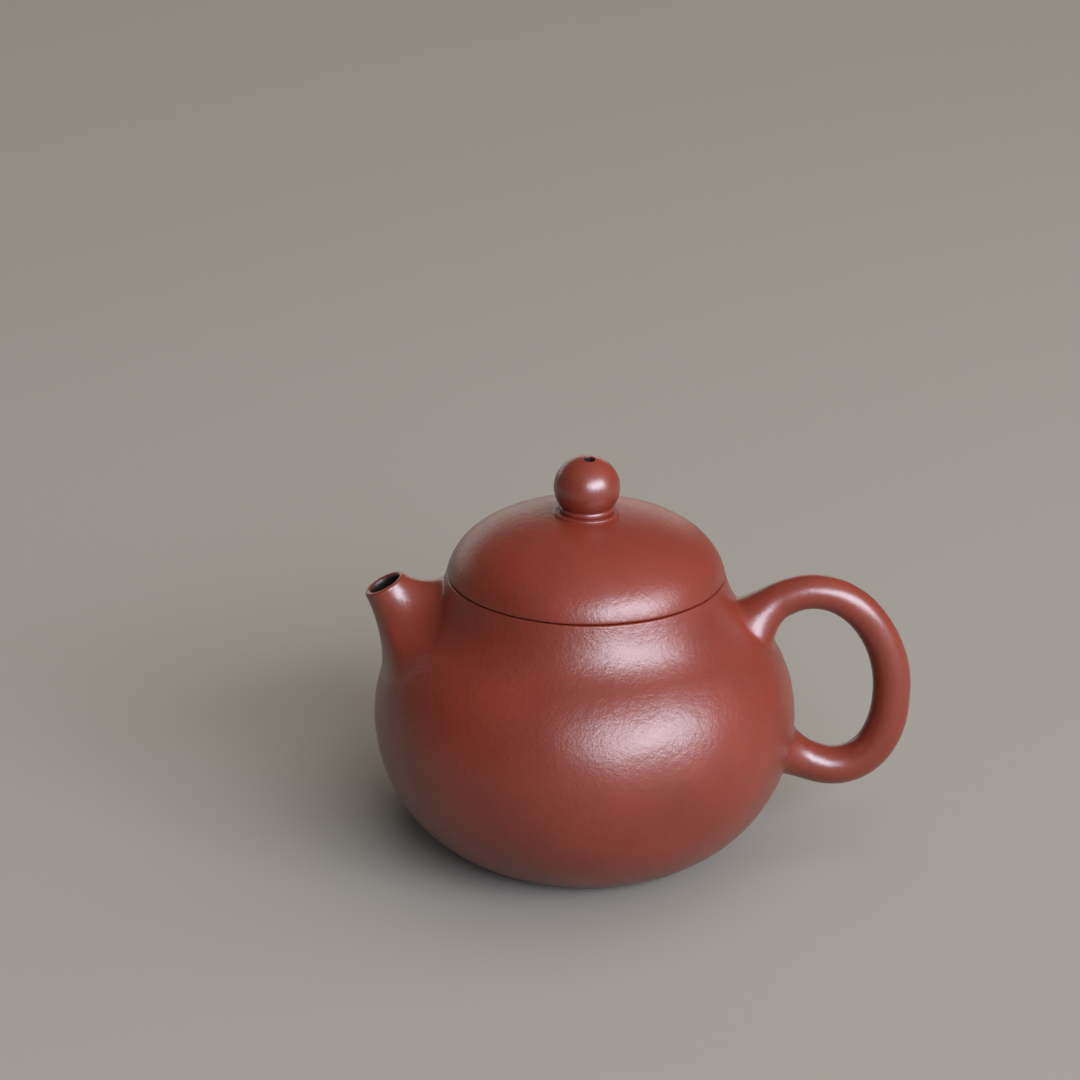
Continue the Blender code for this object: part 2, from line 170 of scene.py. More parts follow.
RED_CLAY = (0.134, 0.0172, 0.0070)
INNER_CLAY = (0.150, 0.022, 0.010)
PALE_SPECK = (0.22, 0.070, 0.030)
DARK_SPECK = (0.055, 0.009, 0.004)
# painted shade: a near-black colour laid where shade falls, in the spout's bore, over the inside
# of its lip, and inside the vent
PAINTED_SHADE = (0.014, 0.005, 0.004)
PAINTED_SHADE_DULL = 0.15          # how much rougher the painted shade is than the clay
POLISH = 0.35              # weight of the thin polish that handling leaves
POLISH_ROUGHNESS = 0.5

FLOOR_COLOUR = (0.20, 0.178, 0.152)
FLOOR_HALF = 4.0           # half the floor's side, in metres
FLOOR_SINK = 0.0001        # how far the floor is under the pot, in metres
ROOM_COLOUR = (0.97, 0.98, 1.0)
ROOM_STRENGTH = 0.10

# azimuth and elevation in degrees, distance, width and height in metres, watts, colour
WINDOW = (37.0, 27.0, 2.2, 2.3, 1.05, 120.0, (0.80, 0.88, 1.02))
BACK_GLOW = (-166.0, 9.0, 2.2, 2.8, 0.6, 6.5, (1.0, 0.95, 0.86))
CEILING = (85.0, 62.0, 2.5, 4.5, 4.5, 120.0, (1.0, 0.97, 0.93))
LIGHT_AIM = (0.0, 0.0, 0.04)   # the place that every light faces, in metres

CAMERA_EYE = (-0.00905, -0.4659, 0.2449)       # in metres
CAMERA_TARGET = (-0.00905, 0.0, 0.06342)
CAMERA_LENS = 85.3         # in millimetres, on a sensor 36 mm wide
CAMERA_ROLL = 0.30         # degrees


# ------------------------------------------------------------------------------ mesh making

def grid_mesh(name, grid, ring=False, cap_first=False, cap_last=False):
    """A mesh from a grid of points (rows, columns, 3) whose columns run once around.
    ring joins the last row to the first; a cap closes an end row with a fan around its
    middle."""
    rows, columns, _ = grid.shape
    row = np.arange(rows if ring else rows - 1)[:, None]
    column = np.arange(columns)[None, :]
    below = (row + 1) % rows
    beside = (column + 1) % columns
    quads = np.stack([row * columns + column, below * columns + column,
                      below * columns + beside, row * columns + beside], axis=-1).reshape(-1, 4)
    points = grid.reshape(-1, 3)
    loops = [quads.ravel()]
    sizes = [np.full(len(quads), 4)]
    edge = np.arange(columns)
    for wanted, base, order in ((cap_first, 0, 1), (cap_last, (rows - 1) * columns, -1)):
        if wanted:
            middle = np.full(columns, len(points))
            points = np.vstack([points, points[base:base + columns].mean(axis=0)])
            fan = np.column_stack([middle, base + edge, base + (edge + 1) % columns])
            loops.append(fan[:, ::order].ravel())
            sizes.append(np.full(columns, 3))
    return mesh_from_arrays(name, points, np.concatenate(loops), np.concatenate(sizes))


def mesh_from_arrays(name, points, loops, sizes):
    """Fill a mesh from arrays: points in millimetres, corner indices, and corners per face."""
    mesh = bpy.data.meshes.new(name)
    mesh.vertices.add(len(points))
    mesh.vertices.foreach_set("co", (points * MM).astype(np.float32).ravel())
    mesh.loops.add(len(loops))
    mesh.loops.foreach_set("vertex_index", loops.astype(np.int32))
    mesh.polygons.add(len(sizes))
    starts = np.concatenate([[0], np.cumsum(sizes)[:-1]])
    mesh.polygons.foreach_set("loop_start", starts.astype(np.int32))
    mesh.update(calc_edges=True)
    mesh.validate()
    mesh.shade_smooth()
    mesh.set_sharp_from_angle(angle=np.radians(SHARP_ANGLE))
    return mesh


def set_painted_shade(mesh, rows, columns):
    """Mark each row of a grid mesh with how much painted shade darkens it, from 0 to 1."""
    painted_shade = mesh.attributes.new("painted_shade", "FLOAT", "POINT")
    values = np.zeros(len(mesh.vertices), np.float32)
    values[:len(rows) * columns] = np.repeat(np.asarray(rows, np.float32), columns)
    painted_shade.data.foreach_set("value", values)


def add_piece(name, mesh, body, node, material):
    """Put a finished piece at the origin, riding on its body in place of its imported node."""
    piece = bpy.data.objects.new(name, mesh)
    bpy.context.scene.collection.objects.link(piece)
    mesh.materials.append(material)
    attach(piece, body)
    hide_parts(node)
    return piece


# --------------------------------------------------------------------------- outline making

def arc(centre, radius, start, end, count):
    """Points on a circle arc, from one angle to another, in degrees."""
    bend = np.radians(np.linspace(start, end, count))
    return np.column_stack([centre[0] + radius * np.cos(bend), centre[1] + radius * np.sin(bend)])


def rounded(corners, radii, closed=True, count=7):
    """An outline through corner points whose corners are cut by arcs: each arc touches both
    of its corner's sides, at radius / tan(half the corner's angle) from it."""
    corners = np.asarray(corners, float)
    out = []
    for i, radius in enumerate(radii):
        here = corners[i]
        if radius <= 0.0 or (not closed and i in (0, len(corners) - 1)):
            out.append(here[None])
            continue
        before = corners[i - 1] - here
        after = corners[(i + 1) % len(corners)] - here
        before = before / np.hypot(*before)
        after = after / np.hypot(*after)
        half = 0.5 * np.arccos(np.clip(before @ after, -1.0, 1.0))
        middle = before + after
        middle = here + middle / np.hypot(*middle) * radius / np.sin(half)
        first = here + before * radius / np.tan(half) - middle
        last = here + after * radius / np.tan(half) - middle
        start = np.arctan2(first[1], first[0])
        sweep = (np.arctan2(last[1], last[0]) - start + np.pi) % TAU - np.pi
        bend = start + sweep * np.linspace(0.0, 1.0, count)
        out.append(middle + radius * np.column_stack([np.cos(bend), np.sin(bend)]))
    return np.vstack(out)


def spaced(outline, step, closed=True):
    """The same outline with points added so that no side is longer than step, in
    millimetres."""
    outline = np.vstack([outline, outline[:1]]) if closed else outline
    sides = np.hypot(*np.diff(outline, axis=0).T)
    pieces = np.maximum(np.ceil(sides / step - 1e-6).astype(int), 1)
    starts = np.repeat(np.arange(len(sides)), pieces)
    ranks = np.arange(len(starts)) - np.repeat(np.cumsum(pieces) - pieces, pieces)
    share = (ranks / pieces[starts])[:, None]
    points = outline[starts] * (1.0 - share) + outline[starts + 1] * share
    return points if closed else np.vstack([points, outline[-1:]])


def turned(outline, columns):
    """A turned surface: each (radius, height) point of the outline carried once around Z."""
    angle = TAU * np.arange(columns) / columns
    radius = outline[:, 0, None]
    return np.stack([radius * np.cos(angle), radius * np.sin(angle),
                     np.repeat(outline[:, 1, None], columns, axis=1)], axis=-1)


# ------------------------------------------------------------------------- the pot's surface

def body_radius(height):
    """Outer radius of the pot at a height: two quarter ellipses that meet at the widest place,
    then a cubic that leaves the upper one smoothly and reaches the rim with the rim's lean."""
    height = np.asarray(height, float)
    rise = height - BELLY_HEIGHT
    half = np.where(rise > 0.0, UPPER_ARC, LOWER_ARC)
    belly = BELLY_RADIUS - ARC_RADIUS + ARC_RADIUS * np.sqrt(np.clip(1 - (rise / half) ** 2, 0, 1))
    length = RIM_HEIGHT - WAIST_HEIGHT
    lift = (WAIST_HEIGHT - BELLY_HEIGHT) / UPPER_ARC
    start = BELLY_RADIUS - ARC_RADIUS + ARC_RADIUS * np.sqrt(1 - lift**2)
    fall = -ARC_RADIUS * lift / (UPPER_ARC * np.sqrt(1 - lift**2))
    t = np.clip((height - WAIST_HEIGHT) / length, 0.0, 1.2)
    shoulder = ((2 * t**3 - 3 * t**2 + 1) * start + (t**3 - 2 * t**2 + t) * length * fall
                + (3 * t**2 - 2 * t**3) * RIM_RADIUS - (t**3 - t**2) * length * RIM_LEAN)
    return np.where(height > WAIST_HEIGHT, shoulder, belly)


def wall_normal(height):
    """Outward direction of the wall at a height, as (along the radius, upwards)."""
    small = 0.01
    slope = (body_radius(height + small) - body_radius(height - small)) / (2 * small)
    length = np.sqrt(1.0 + slope**2)
    return 1.0 / length, -slope / length


def wall_point(height, side, sink=0.0):
    """A point on the wall's outer face: height, angle from +X, and how far it is sunk in."""
    out, up = wall_normal(height)
    radius = body_radius(height) - sink * out
    return np.stack([radius * np.cos(side), radius * np.sin(side), height - sink * up], axis=-1)


def uneven(grid):
    """The slight unevenness that hands leave: a sum of crossed sine waves of a few
    hundredths of a millimetre, 9 to 18 mm long, that moves points to and from the axis.
    It only depends on the place, so that luted pieces stay together."""
    x, y, z = grid[..., 0], grid[..., 1], grid[..., 2]
    wave = (np.sin(0.31 * x + 0.42 * y + 1.3) * np.sin(0.36 * z + 0.5)
            + 0.7 * np.sin(0.47 * y - 0.29 * x + 2.1) * np.sin(0.52 * z + 1.9)
            + 0.5 * np.sin(0.68 * x + 0.15 * z) * np.sin(0.61 * y - 0.2 * z + 0.7))
    reach = np.hypot(x, y)
    share = 1.0 + HAND_WAVE * wave / np.maximum(reach, 1.0) * np.clip(reach / 8.0 - 1.0, 0.0, 1.0)
    return np.stack([x * share, y * share, z], axis=-1)


# ---------------------------------------------------------------------------- clay materials

def node(tree, kind, **values):
    """A shader node with its settings and its unlinked inputs filled in."""
    made = tree.nodes.new(kind)
    for key, value in values.items():
        if key in made.inputs:
            made.inputs[key].default_value = value
        else:
            setattr(made, key, value)
    return made


def noise(tree, place, per_mm, detail, roughness=0.5):
    """Noise with so many features per millimetre, read at the object's own place."""
    made = node(tree, "ShaderNodeTexNoise", Scale=per_mm / MM, Detail=detail)
    made.inputs["Roughness"].default_value = roughness
    tree.links.new(place, made.inputs["Vector"])
    return made.outputs["Fac"]


def remap(tree, value, low, high, to_low, to_high):
    """Stretch a range of values to another, held at its ends."""
    made = node(tree, "ShaderNodeMapRange")
    made.clamp = True
    for slot, number in zip(("From Min", "From Max", "To Min", "To Max"),
                            (low, high, to_low, to_high)):
        made.inputs[slot].default_value = number
    tree.links.new(value, made.inputs["Value"])
    return made.outputs["Result"]


def mixed(tree, kind, factor, base, colour):
    """Lay a colour over a base, by a factor that is a number or a socket."""
    made = node(tree, "ShaderNodeMix", data_type="RGBA", blend_type=kind)
    sockets = made.inputs["Factor"], made.inputs[6], made.inputs[7]
    for socket, value in zip(sockets, (factor, base, colour)):
        if isinstance(value, bpy.types.NodeSocket):
            tree.links.new(value, socket)
        elif isinstance(value, tuple):
            socket.default_value = value + (1.0,)
        else:
            socket.default_value = value
    return made.outputs[2]


def bumped(tree, height, distance, strength, below=None):
    """Raise the surface by a height, in millimetres, over an earlier bump."""
    made = node(tree, "ShaderNodeBump", Strength=strength, Distance=distance * MM)
    tree.links.new(height, made.inputs["Height"])
    if below is not None:
        tree.links.new(below, made.inputs["Normal"])
    return made.outputs["Normal"]


def fired_clay(name, colour, roughness, grain, gloss=0.5):
    """Unglazed fired clay, rubbed to a satin: a mottled red-brown body, sparse pale and dark
    mineral specks, and a skin like orange peel whose fine grain breaks up the shine. Years
    of handling leave a thin polish over it, and a painted shade, close to black and rougher,
    darkens it where the mesh marks it so. Noise is in features per millimetre, bumps are in
    millimetres."""
    material = bpy.data.materials.new(name)
    material.use_nodes = True
    tree = material.node_tree
    shader = tree.nodes["Principled BSDF"]
    place = node(tree, "ShaderNodeTexCoord").outputs["Object"]

    cloud = remap(tree, noise(tree, place, 0.055, 3.0), 0.3, 0.7, 0.0, 1.0)
    patch = remap(tree, noise(tree, place, 0.9, 3.0), 0.35, 0.65, 0.0, 1.0)
    darker = tuple(0.84 * c for c in colour)
    lighter = tuple(1.12 * c for c in colour)
    body = mixed(tree, "MIX", cloud, darker, lighter)
    body = mixed(tree, "MIX", remap(tree, patch, 0.0, 1.0, 0.0, 0.25), body, darker)
    pale = remap(tree, noise(tree, place, 3.1, 1.0), 0.70, 0.78, 0.0, 0.35)
    body = mixed(tree, "MIX", pale, body, PALE_SPECK)
    dark = remap(tree, noise(tree, place, 2.3, 1.0), 0.31, 0.24, 0.0, 0.5)
    body = mixed(tree, "MIX", dark, body, DARK_SPECK)
    # painted shade: the near-black colour where the mesh's shade attribute marks the bore, the lip
    # and the vent
    painted_shade = node(tree, "ShaderNodeAttribute", attribute_name="painted_shade").outputs["Fac"]
    body = mixed(tree, "MIX", painted_shade, body, PAINTED_SHADE)
    tree.links.new(body, shader.inputs["Base Color"])

    rub = remap(tree, noise(tree, place, 0.16, 4.0, 0.6), 0.3, 0.7,
                roughness - 0.03, roughness + 0.04)
    # the painted shade is also rougher, so that it mirrors the lights less
    dull = node(tree, "ShaderNodeMath", operation="MULTIPLY_ADD")
    tree.links.new(painted_shade, dull.inputs[0])
    dull.inputs[1].default_value = PAINTED_SHADE_DULL
    tree.links.new(rub, dull.inputs[2])
    tree.links.new(dull.outputs[0], shader.inputs["Roughness"])

    peel = bumped(tree, noise(tree, place, 0.75, 2.0), 0.10 * grain, 0.8)
    skin = bumped(tree, noise(tree, place, 2.0, 3.0, 0.65), 0.072 * grain, 0.8, peel)
    tree.links.new(skin, shader.inputs["Normal"])
    shader.inputs["IOR"].default_value = 1.5
    shader.inputs["Specular IOR Level"].default_value = gloss
    shader.inputs["Coat Weight"].default_value = POLISH
    shader.inputs["Coat Roughness"].default_value = POLISH_ROUGHNESS
    return material


# ----------------------------------------------------------------------------- the pot's parts

def door_turn():
    """The turn that takes +Z to the wall's outward direction at the door behind the spout."""
    out, up = wall_normal(np.array(DOOR_HEIGHT))
    way = Vector((-float(out), 0.0, float(up)))
    return np.array(way.to_track_quat("Z", "Y").to_matrix())


def make_body_wall(clay):
    """The beaten wall: the outer face from rim to foot, the flat underside to the base disc,
    and the inner face one wall in, as one closed outline turned around the axis, with the
    door behind the spout cut through it."""
    quarter = np.linspace(0.0, 0.5 * np.pi, WALL_ROWS)
    heights = BELLY_HEIGHT + np.concatenate([
        np.linspace(RIM_HEIGHT - RIM_EDGE - BELLY_HEIGHT, 0.0, WALL_ROWS),
        -(BELLY_HEIGHT - FOOT_CLEAR) * np.sin(quarter)[1:]])
    outer = np.column_stack([body_radius(heights), heights])
    out, up = wall_normal(heights)
    inner = outer - WALL * np.column_stack([out, up])
    inner = inner[(inner[:, 0] > BASE_RADIUS + 1.0) & (inner[:, 1] < RIM_HEIGHT - 1.5)]
    foot = outer[-1]
    rim = rounded([(RIM_RADIUS - WALL, RIM_HEIGHT - 1.0), (RIM_RADIUS - WALL, RIM_HEIGHT),
                   (RIM_RADIUS, RIM_HEIGHT), (body_radius(RIM_HEIGHT - 2.0), RIM_HEIGHT - 2.0)],
                  [0.0, 0.0, RIM_EDGE, 0.0], closed=False)[:-1]
    seam = BASE_RADIUS + 0.02
    under = np.array([(foot[0] - 0.8, 0.0), (seam, 0.0), (seam, BASE_THICKNESS - 0.1),
                      (BASE_RADIUS + 0.5, BASE_THICKNESS)])
    keep = outer[:, 1] < rim[-1, 1] - 0.05
    outline = np.vstack([outer[keep], under, inner[::-1], rim])
    mesh = grid_mesh("body_wall_clay", uneven(turned(spaced(outline, step=0.8), AROUND)),
                     ring=True)
    wall = add_piece("body_wall_clay", mesh, "pot", "body_wall", clay)

    seat = wall_point(np.array(DOOR_HEIGHT), np.array(np.pi))
    plug = np.array([(DOOR_CUT, DOOR_OUT), (DOOR_CUT, -WALL - DOOR_IN)])
    cut_with(wall, [turned(plug, DOOR_AROUND) @ door_turn().T + seat])


def make_base_disc(clay):
    """The flat disc let into the bottom, with rounded edges."""
    outline = rounded([(0.4, BASE_THICKNESS), (BASE_RADIUS, BASE_THICKNESS),
                       (BASE_RADIUS, 0.0), (0.4, 0.0)], [0.0, 0.3, 0.3, 0.0], closed=False)
    mesh = grid_mesh("base_disc_clay", turned(spaced(outline, step=0.8, closed=False), AROUND),
                     cap_first=True, cap_last=True)
    add_piece("base_disc_clay", mesh, "pot", "base_disc", clay)


def make_mouth_ring(clay):
    """The ring that thickens the mouth: level with the rim, its inner edge rounded."""
    outer = RIM_RADIUS - WALL - 0.02
    outline = rounded([(outer, RIM_HEIGHT), (outer, RING_LOW), (MOUTH_BORE, RING_LOW),
                       (MOUTH_BORE, RIM_HEIGHT)], [0.0, 0.6, 0.9, 0.45])
    mesh = grid_mesh("mouth_ring_clay", turned(spaced(outline, step=0.6), AROUND), ring=True)
    add_piece("mouth_ring_clay", mesh, "pot", "mouth_ring", clay)


def landing(ring, leave, foot, inward, leave_pull, land_pull, count):
    """Lines that leave a ring of points along leave and land on the foot line along the wall:
    cubic Hermite curves, one for each point of the ring. A pull is how long a line keeps to
    its end's direction."""
    t = np.linspace(0.0, 1.0, count)[:, None, None]
    pull_out = leave * np.asarray(leave_pull)[..., None]
    pull_in = inward * np.asarray(land_pull)[..., None]
    return ((2 * t**3 - 3 * t**2 + 1) * ring + (t**3 - 2 * t**2 + t) * pull_out
            + (3 * t**2 - 2 * t**3) * foot + (t**3 - t**2) * pull_in)


def foot_line(heights, sides, away):
    """A closed line on the wall, and at each of its points the direction along the wall that
    points out of it. away is the middle of the foot."""
    foot = wall_point(heights, sides, FOOT_SINK)
    along = np.roll(foot, -1, axis=0) - np.roll(foot, 1, axis=0)
    out, up = wall_normal(heights)
    normal = np.stack([out * np.cos(sides), out * np.sin(sides), up], axis=-1)
    outward = np.cross(along, normal)
    outward /= np.linalg.norm(outward, axis=-1, keepdims=True)
    facing = np.sign(np.sum(outward * (foot - away), axis=-1, keepdims=True))
    return foot, outward * facing


def make_spout(clay):
    """A short tapered spout. Each of its lines leaves the lip at a flare that is nothing in
    front and wide on top, and lands on the wall along the wall; the flanks keep to both
    directions longer, so that they run into the wall without a crease. Under the wall's
    face it runs to the opening, and the bore leads back up to the lip."""
    angle = TAU * np.arange(TUBE_AROUND) / TUBE_AROUND
    tilt = np.radians(LIP_TILT)
    facing = np.array([-np.cos(tilt), 0.0, np.sin(tilt)])
    front = np.array([-np.sin(tilt), 0.0, -np.cos(tilt)])
    side = np.array([0.0, 1.0, 0.0])
    spoke = np.cos(angle)[:, None] * front + np.sin(angle)[:, None] * side
    top_share = (0.5 * (1.0 - np.cos(angle)))[:, None]

    flare = np.radians(SPOUT_FLARE_FRONT + (SPOUT_FLARE_TOP - SPOUT_FLARE_FRONT)
                       * top_share**4)
    leave = -facing * np.cos(flare) + spoke * np.sin(flare)
    heights = SPOUT_FOOT_HEIGHT - SPOUT_FOOT_HALF * np.cos(angle)
    sides = np.pi - np.sin(angle) * np.radians(SPOUT_FOOT_SIDE) * (1 + SPOUT_SKEW * np.cos(angle))
    middle = wall_point(np.array(SPOUT_FOOT_HEIGHT), np.array(np.pi))
    foot, outward = foot_line(heights, sides, middle)
    share = top_share[:, 0]
    flank = np.sin(angle) ** 2
    skin = landing(LIP_CENTRE + LIP_RADIUS * spoke, leave, foot, outward,
                   SPOUT_LEAVE[0] + (SPOUT_LEAVE[1] - SPOUT_LEAVE[0]) * share
                   + SPOUT_LEAVE[2] * flank,
                   SPOUT_LAND[0] + (SPOUT_LAND[1] - SPOUT_LAND[0]) * share**4
                   + SPOUT_LAND[2] * flank, SPOUT_ROWS)

    door_heights = DOOR_HEIGHT - DOOR_RADIUS * np.cos(angle) * DOOR_SLOPE
    door_sides = np.pi - np.sin(angle) * DOOR_RADIUS / body_radius(DOOR_HEIGHT)
    steps = np.linspace(0.0, 1.0, 10)[1:, None]
    under = wall_point(heights * (1 - steps) + door_heights * steps,
                       sides * (1 - steps) + door_sides * steps, HIDDEN_SINK)
    climb = np.linspace(0.0, 1.0, 24)[1:, None, None]
    ease = climb**BORE_EASE
    mouth = LIP_CENTRE - BORE_START * facing + BORE_RADIUS * spoke
    bore = under[-1] * (1 - ease) + mouth * ease
    bend = np.radians(np.linspace(0.0, 180.0, 13))[1:-1, None, None]
    thick = 0.5 * (LIP_RADIUS - BORE_RADIUS)
    lip = (LIP_CENTRE + (LIP_RADIUS - thick - thick * np.cos(bend)) * spoke
           + facing * thick * LIP_ROUND * np.sin(bend))
    grid = np.concatenate([skin, under, bore, lip])
    mesh = grid_mesh("spout_clay", uneven(grid), ring=True)
    # painted shade over the bore and the hidden rows under the wall, fading over the lip's inside
    set_painted_shade(mesh, np.concatenate([np.zeros(len(skin)), np.ones(len(under) + len(bore)),
                                    LIP_PAINTED_SHADE, np.zeros(len(lip) - len(LIP_PAINTED_SHADE))]),
              TUBE_AROUND)
    add_piece("spout_clay", mesh, "pot", "spout", clay)


def smooth_line(points, count):
    """A Catmull-Rom curve through points, read at count even places along its length, whose
    last corners are taken out by averaging each place with its neighbours a few times."""
    points = np.asarray(points, float)
    padded = np.vstack([2 * points[0] - points[1], points, 2 * points[-1] - points[-2]])
    t = np.linspace(0.0, 1.0, SPAN_PLACES, endpoint=False)[:, None]
    spans = [0.5 * (2 * b + (c - a) * t + (2 * a - 5 * b + 4 * c - d) * t**2
                    + (3 * b - a - 3 * c + d) * t**3)
             for a, b, c, d in zip(padded[:-3], padded[1:-2], padded[2:-1], padded[3:])]
    line = np.vstack(spans + [points[-1:]])
    length = np.concatenate([[0.0], np.cumsum(np.linalg.norm(np.diff(line, axis=0), axis=1))])
    places = np.linspace(0.0, length[-1], count)
    line = np.column_stack([np.interp(places, length, column) for column in line.T])
    for _ in range(SMOOTH_PASSES):
        line[1:-1] = 0.25 * (line[:-2] + 2.0 * line[1:-1] + line[2:])
    return line


def make_handle(clay):
    """A round loop: a tube along its path, and at each end a root that lands on the wall.
    Both ends stop just under the wall's face, closed by a cap."""
    angle = TAU * np.arange(TUBE_AROUND) / TUBE_AROUND
    path = smooth_line(HANDLE_PATH, HANDLE_ROWS)
    centre = np.column_stack([path[:, 0], np.zeros(len(path)), path[:, 1]])
    along = np.gradient(centre, axis=0)
    along /= np.linalg.norm(along, axis=1, keepdims=True)
    outer = np.column_stack([-along[:, 2], np.zeros(len(path)), along[:, 0]])
    side = np.array([0.0, 1.0, 0.0])
    spoke = (np.cos(angle)[None, :, None] * outer[:, None, :]
             + np.sin(angle)[None, :, None] * side)
    tube = centre[:, None, :] + path[:, 2, None, None] * spoke

    def root(end, inside, foot_height, foot_half, foot_side, up_sign, leave, land):
        """The rows from one end of the tube to the wall, and on under the wall's face."""
        heights = foot_height + up_sign * foot_half * np.cos(angle)
        sides = np.sin(angle) * np.radians(foot_side)
        middle = wall_point(np.array(foot_height), np.array(0.0))
        foot, outward = foot_line(heights, sides, middle)
        share = 0.5 * (1.0 - np.cos(angle))
        start = tube[end] - tube[inside]
        start /= np.linalg.norm(start, axis=1, keepdims=True)
        skin = landing(tube[end], start, foot, outward,
                       leave[0] * (1 - share) + leave[1] * share,
                       land[0] * (1 - share) + land[1] * share, ROOT_ROWS)
        steps = np.linspace(1.0, 0.25, 6)[:, None]
        under = wall_point(foot_height + (heights - foot_height) * steps, sides * steps,
                           HIDDEN_SINK)
        return np.concatenate([skin[1:], under])

    upper = root(0, 1, *HANDLE_TOP_ROOT)
    lower = root(-1, -2, *HANDLE_LOW_ROOT)
    grid = np.concatenate([upper[::-1], tube, lower])
    mesh = grid_mesh("handle_clay", uneven(grid), cap_first=True, cap_last=True)
    add_piece("handle_clay", mesh, "pot", "handle", clay)


def make_strainer(clay):
    """A pierced half ball behind the spout's opening: a thin turned shell on the door's
    axis, with rows of round holes cut through."""
    inner = STRAINER_RADIUS - STRAINER_WALL
    outline = np.vstack([arc((0, 0), STRAINER_RADIUS, 12.0, -89.0, 40),
                         arc((0, 0), inner, -89.0, 12.0, 36)])
    turn = door_turn()
    seat = wall_point(np.array(DOOR_HEIGHT), np.array(np.pi), WALL + STRAINER_SEAT)
    shell = turned(outline, STRAINER_AROUND) @ turn.T + seat
    mesh = grid_mesh("strainer_clay", shell, ring=True)
    strainer = add_piece("strainer_clay", mesh, "pot", "strainer", clay)

    pegs = []
    for lean, count in STRAINER_ROWS:
        around = TAU * np.arange(count) / count
        lean = np.radians(lean)
        ways = np.column_stack([np.sin(lean) * np.cos(around), np.sin(lean) * np.sin(around),
                                np.full(count, -np.cos(lean))])
        pegs += [peg_grid(way, turn, seat) for way in ways]
    cut_with(strainer, pegs)


def cut_with(piece, grids):
    """Cut capped tubes out of a piece, for good."""
    tool = join_grids("cutting_tool", grids)
    cut = piece.modifiers.new("holes", "BOOLEAN")
    cut.operation = "DIFFERENCE"
    cut.object = tool
    bake_modifiers(piece)
    bpy.data.objects.remove(tool, do_unlink=True)


def peg_grid(way, turn, seat):
    """A short round peg through the strainer's shell, along one of its spokes."""
    frame_of_peg = np.array(Vector(way).to_track_quat("Z", "Y").to_matrix())
    middle = STRAINER_RADIUS - 0.5 * STRAINER_WALL
    outline = np.array([(STRAINER_HOLE, middle + STRAINER_WALL),
                        (STRAINER_HOLE, middle - STRAINER_WALL)])
    return turned(outline, HOLE_AROUND) @ frame_of_peg.T @ turn.T + seat


def join_grids(name, grids):
    """Several capped tubes in one object that is only used to cut."""
    merged = bpy.data.meshes.new(name)
    points, faces = [], []
    for grid in grids:
        base = sum(len(p) for p in points)
        columns = grid.shape[1]
        ring = np.arange(columns)
        points.append(grid.reshape(-1, 3) * MM)
        faces += [[base + i, base + columns + i, base + columns + (i + 1) % columns,
                   base + (i + 1) % columns] for i in ring]
        faces.append([int(base + i) for i in ring])
        faces.append([int(base + columns + i) for i in ring[::-1]])
    merged.from_pydata(np.vstack(points), [], faces)
    tool = bpy.data.objects.new(name, merged)
    bpy.context.scene.collection.objects.link(tool)
    return tool


def bake_modifiers(piece):
    """Replace a piece's mesh by what its modifiers make of it."""
    graph = bpy.context.evaluated_depsgraph_get()
    baked = bpy.data.meshes.new_from_object(piece.evaluated_get(graph))
    piece.modifiers.clear()
    piece.data = baked


# --------------------------------------------------------------------------------- the lid

def make_lid_dome(clay):
    """The dome: one cubic from the rim to the crown, the vent, and the same cubic one wall
    in for the underside."""
    rim = RIM_HEIGHT + LID_GAP
    corners = np.array([(0.0, LID_TOP), (LID_CROWN, LID_TOP),
                        (RIM_RADIUS - LID_LEAN * LID_SHOULDER, rim + LID_SHOULDER),
                        (RIM_RADIUS, rim)])
    t = np.linspace(0.0, 1.0, LID_ROWS)[:, None]
    dome = ((1 - t) ** 3 * corners[0] + 3 * (1 - t) ** 2 * t * corners[1]
            + 3 * (1 - t) * t**2 * corners[2] + t**3 * corners[3])
    along = np.gradient(dome, axis=0)
    along /= np.hypot(along[:, 0], along[:, 1])[:, None]
    below = dome + LID_WALL * np.column_stack([along[:, 1], -along[:, 0]])
    below = below[(below[:, 0] > VENT_RADIUS + 0.3) & (below[:, 1] > rim + 1.2)]
    dome = dome[(dome[:, 0] > VENT_RADIUS + 0.1) & (dome[:, 1] > rim + 2 * LID_EDGE)]
    lip = rounded([dome[-1], (RIM_RADIUS, rim), (below[-1, 0] - 0.6, rim)],
                  [0.0, LID_EDGE, 0.0], closed=False)[1:]
    vent = np.array([(VENT_RADIUS, below[0, 1]), (VENT_RADIUS, LID_TOP - 0.02)])
    outline = np.vstack([dome, lip, below[::-1], vent])
    mesh = grid_mesh("lid_dome_clay", uneven(turned(spaced(outline, step=0.7), AROUND)),
                     ring=True)
    add_piece("lid_dome_clay", mesh, "lid", "lid_dome", clay)


def make_lid_flange(clay):
    """The ring that drops into the mouth, slightly drawn in below, with rounded edges."""
    inner = FLANGE_RADIUS - FLANGE_WALL
    high = RIM_HEIGHT + FLANGE_RISE
    outline = rounded([(FLANGE_RADIUS, high), (FLANGE_RADIUS - 0.15, FLANGE_LOW),
                       (inner, FLANGE_LOW), (inner, high)], [0.0, 0.8, 0.7, 0.0])
    mesh = grid_mesh("lid_flange_clay", turned(spaced(outline, step=0.6), AROUND), ring=True)
    add_piece("lid_flange_clay", mesh, "lid", "lid_flange", clay)


